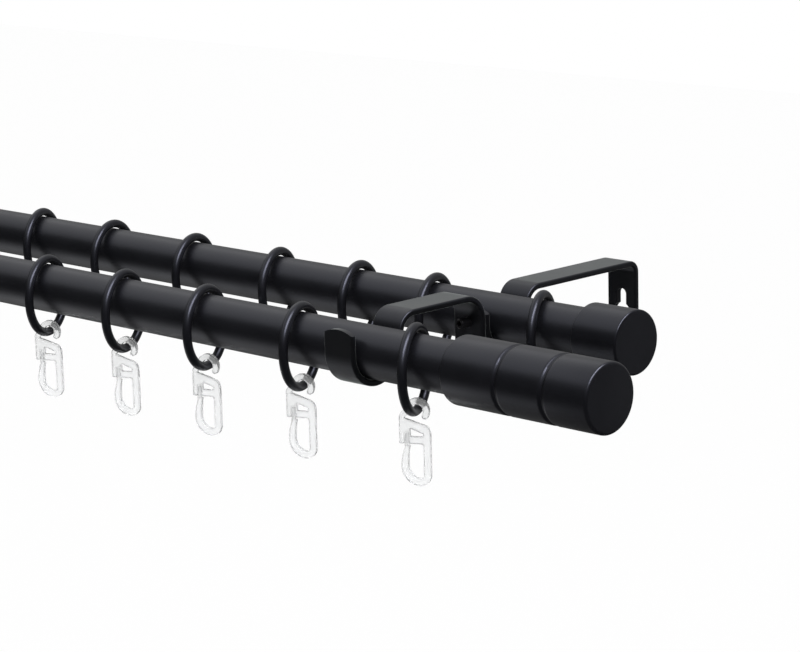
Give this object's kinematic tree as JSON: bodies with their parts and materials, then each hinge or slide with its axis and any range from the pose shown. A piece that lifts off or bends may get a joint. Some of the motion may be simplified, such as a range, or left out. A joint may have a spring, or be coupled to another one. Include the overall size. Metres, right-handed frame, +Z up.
{
  "type": "double curtain pole",
  "caption": "Double wall-mounted curtain pole: two slim round black poles one behind the other on bent strap brackets, with cylindrical end caps, sliding rings and clear clip hooks.",
  "frame": {"origin": "on the wall, midway between the wide holes of the two wall plates", "axes": "+X along the poles to the right as seen from the room, +Y into the wall, +Z up"},
  "size_m": [1.3034, 0.1673, 0.0612],
  "materials": {
    "black_lacquer": "satin black lacquer on steel",
    "screw_steel": "blackened steel",
    "clear_plastic": "clear moulded plastic"
  },
  "bodies": {
    "fixed": {"front_pole": "black_lacquer", "rear_pole": "black_lacquer", "front_cap_right": "black_lacquer", "rear_cap_right": "black_lacquer", "wall_bracket_right": "black_lacquer", "front_arm_right": "black_lacquer", "clamp_screw_right": "screw_steel", "front_cap_left": "black_lacquer", "rear_cap_left": "black_lacquer", "wall_bracket_left": "black_lacquer", "front_arm_left": "black_lacquer", "clamp_screw_left": "screw_steel"},
    "front_ring_right_1": {"front_ring_right_1": "black_lacquer"},
    "hook_right_1": {"hook_right_1": "clear_plastic"},
    "front_ring_right_2": {"front_ring_right_2": "black_lacquer"},
    "hook_right_2": {"hook_right_2": "clear_plastic"},
    "front_ring_right_3": {"front_ring_right_3": "black_lacquer"},
    "hook_right_3": {"hook_right_3": "clear_plastic"},
    "front_ring_right_4": {"front_ring_right_4": "black_lacquer"},
    "hook_right_4": {"hook_right_4": "clear_plastic"},
    "front_ring_right_5": {"front_ring_right_5": "black_lacquer"},
    "hook_right_5": {"hook_right_5": "clear_plastic"},
    "rear_ring_right_1": {"rear_ring_right_1": "black_lacquer"},
    "rear_ring_right_2": {"rear_ring_right_2": "black_lacquer"},
    "rear_ring_right_3": {"rear_ring_right_3": "black_lacquer"},
    "rear_ring_right_4": {"rear_ring_right_4": "black_lacquer"},
    "rear_ring_right_5": {"rear_ring_right_5": "black_lacquer"},
    "rear_ring_right_6": {"rear_ring_right_6": "black_lacquer"},
    "rear_ring_right_7": {"rear_ring_right_7": "black_lacquer"},
    "front_ring_left_1": {"front_ring_left_1": "black_lacquer"},
    "hook_left_1": {"hook_left_1": "clear_plastic"},
    "front_ring_left_2": {"front_ring_left_2": "black_lacquer"},
    "hook_left_2": {"hook_left_2": "clear_plastic"},
    "front_ring_left_3": {"front_ring_left_3": "black_lacquer"},
    "hook_left_3": {"hook_left_3": "clear_plastic"},
    "front_ring_left_4": {"front_ring_left_4": "black_lacquer"},
    "hook_left_4": {"hook_left_4": "clear_plastic"},
    "front_ring_left_5": {"front_ring_left_5": "black_lacquer"},
    "hook_left_5": {"hook_left_5": "clear_plastic"},
    "rear_ring_left_1": {"rear_ring_left_1": "black_lacquer"},
    "rear_ring_left_2": {"rear_ring_left_2": "black_lacquer"},
    "rear_ring_left_3": {"rear_ring_left_3": "black_lacquer"},
    "rear_ring_left_4": {"rear_ring_left_4": "black_lacquer"},
    "rear_ring_left_5": {"rear_ring_left_5": "black_lacquer"},
    "rear_ring_left_6": {"rear_ring_left_6": "black_lacquer"},
    "rear_ring_left_7": {"rear_ring_left_7": "black_lacquer"}
  },
  "joints": [
    {"name": "front_ring_right_1_slide", "type": "slide", "parent": "fixed", "child": "front_ring_right_1", "axis": [1, 0, 0], "range_m": [-0.011, 0.0156]},
    {"name": "hook_right_1_swing", "type": "hinge", "parent": "front_ring_right_1", "child": "hook_right_1", "pos_m": [0.5583, -0.151, -0.0078], "axis": [-0.4462, 0.8949, 0], "range_deg": [-60, 60]},
    {"name": "front_ring_right_2_slide", "type": "slide", "parent": "fixed", "child": "front_ring_right_2", "axis": [1, 0, 0], "range_m": [-0.0468, 0.0192]},
    {"name": "hook_right_2_swing", "type": "hinge", "parent": "front_ring_right_2", "child": "hook_right_2", "pos_m": [0.4971, -0.151, -0.0078], "axis": [-0.3714, 0.9285, 0], "range_deg": [-60, 60]},
    {"name": "front_ring_right_3_slide", "type": "slide", "parent": "fixed", "child": "front_ring_right_3", "axis": [1, 0, 0], "range_m": [-0.0426, 0.0468]},
    {"name": "hook_right_3_swing", "type": "hinge", "parent": "front_ring_right_3", "child": "hook_right_3", "pos_m": [0.4421, -0.151, -0.0078], "axis": [-0.3535, 0.9354, 0], "range_deg": [-60, 60]},
    {"name": "front_ring_right_4_slide", "type": "slide", "parent": "fixed", "child": "front_ring_right_4", "axis": [1, 0, 0], "range_m": [-0.0428, 0.0426]},
    {"name": "hook_right_4_swing", "type": "hinge", "parent": "front_ring_right_4", "child": "hook_right_4", "pos_m": [0.3913, -0.151, -0.0078], "axis": [-0.373, 0.9278, 0], "range_deg": [-60, 60]},
    {"name": "front_ring_right_5_slide", "type": "slide", "parent": "fixed", "child": "front_ring_right_5", "axis": [1, 0, 0], "range_m": [-0.66, 0.0428]},
    {"name": "hook_right_5_swing", "type": "hinge", "parent": "front_ring_right_5", "child": "hook_right_5", "pos_m": [0.3402, -0.151, -0.0078], "axis": [-0.4019, 0.9157, 0], "range_deg": [-60, 60]},
    {"name": "rear_ring_right_1_slide", "type": "slide", "parent": "fixed", "child": "rear_ring_right_1", "axis": [1, 0, 0], "range_m": [-0.0091, 0.017]},
    {"name": "rear_ring_right_2_slide", "type": "slide", "parent": "fixed", "child": "rear_ring_right_2", "axis": [1, 0, 0], "range_m": [-0.039, 0.0178]},
    {"name": "rear_ring_right_3_slide", "type": "slide", "parent": "fixed", "child": "rear_ring_right_3", "axis": [1, 0, 0], "range_m": [-0.0441, 0.039]},
    {"name": "rear_ring_right_4_slide", "type": "slide", "parent": "fixed", "child": "rear_ring_right_4", "axis": [1, 0, 0], "range_m": [-0.0496, 0.0441]},
    {"name": "rear_ring_right_5_slide", "type": "slide", "parent": "fixed", "child": "rear_ring_right_5", "axis": [1, 0, 0], "range_m": [-0.0519, 0.0496]},
    {"name": "rear_ring_right_6_slide", "type": "slide", "parent": "fixed", "child": "rear_ring_right_6", "axis": [1, 0, 0], "range_m": [-0.0462, 0.0519]},
    {"name": "rear_ring_right_7_slide", "type": "slide", "parent": "fixed", "child": "rear_ring_right_7", "axis": [1, 0, 0], "range_m": [-0.465, 0.0462]},
    {"name": "front_ring_left_1_slide", "type": "slide", "parent": "fixed", "child": "front_ring_left_1", "axis": [1, 0, 0], "range_m": [-0.0156, 0.011]},
    {"name": "hook_left_1_swing", "type": "hinge", "parent": "front_ring_left_1", "child": "hook_left_1", "pos_m": [-0.5583, -0.151, -0.0078], "axis": [0.4462, 0.8949, 0], "range_deg": [-60, 60]},
    {"name": "front_ring_left_2_slide", "type": "slide", "parent": "fixed", "child": "front_ring_left_2", "axis": [1, 0, 0], "range_m": [-0.0192, 0.0468]},
    {"name": "hook_left_2_swing", "type": "hinge", "parent": "front_ring_left_2", "child": "hook_left_2", "pos_m": [-0.4971, -0.151, -0.0078], "axis": [0.3714, 0.9285, 0], "range_deg": [-60, 60]},
    {"name": "front_ring_left_3_slide", "type": "slide", "parent": "fixed", "child": "front_ring_left_3", "axis": [1, 0, 0], "range_m": [-0.0468, 0.0426]},
    {"name": "hook_left_3_swing", "type": "hinge", "parent": "front_ring_left_3", "child": "hook_left_3", "pos_m": [-0.4421, -0.151, -0.0078], "axis": [0.3535, 0.9354, 0], "range_deg": [-60, 60]},
    {"name": "front_ring_left_4_slide", "type": "slide", "parent": "fixed", "child": "front_ring_left_4", "axis": [1, 0, 0], "range_m": [-0.0426, 0.0428]},
    {"name": "hook_left_4_swing", "type": "hinge", "parent": "front_ring_left_4", "child": "hook_left_4", "pos_m": [-0.3913, -0.151, -0.0078], "axis": [0.373, 0.9278, 0], "range_deg": [-60, 60]},
    {"name": "front_ring_left_5_slide", "type": "slide", "parent": "fixed", "child": "front_ring_left_5", "axis": [1, 0, 0], "range_m": [-0.0428, 0.66]},
    {"name": "hook_left_5_swing", "type": "hinge", "parent": "front_ring_left_5", "child": "hook_left_5", "pos_m": [-0.3402, -0.151, -0.0078], "axis": [0.4019, 0.9157, 0], "range_deg": [-60, 60]},
    {"name": "rear_ring_left_1_slide", "type": "slide", "parent": "fixed", "child": "rear_ring_left_1", "axis": [1, 0, 0], "range_m": [-0.017, 0.0091]},
    {"name": "rear_ring_left_2_slide", "type": "slide", "parent": "fixed", "child": "rear_ring_left_2", "axis": [1, 0, 0], "range_m": [-0.0178, 0.039]},
    {"name": "rear_ring_left_3_slide", "type": "slide", "parent": "fixed", "child": "rear_ring_left_3", "axis": [1, 0, 0], "range_m": [-0.039, 0.0441]},
    {"name": "rear_ring_left_4_slide", "type": "slide", "parent": "fixed", "child": "rear_ring_left_4", "axis": [1, 0, 0], "range_m": [-0.0441, 0.0496]},
    {"name": "rear_ring_left_5_slide", "type": "slide", "parent": "fixed", "child": "rear_ring_left_5", "axis": [1, 0, 0], "range_m": [-0.0496, 0.0519]},
    {"name": "rear_ring_left_6_slide", "type": "slide", "parent": "fixed", "child": "rear_ring_left_6", "axis": [1, 0, 0], "range_m": [-0.0519, 0.0462]},
    {"name": "rear_ring_left_7_slide", "type": "slide", "parent": "fixed", "child": "rear_ring_left_7", "axis": [1, 0, 0], "range_m": [-0.0462, 0.465]}
  ]
}
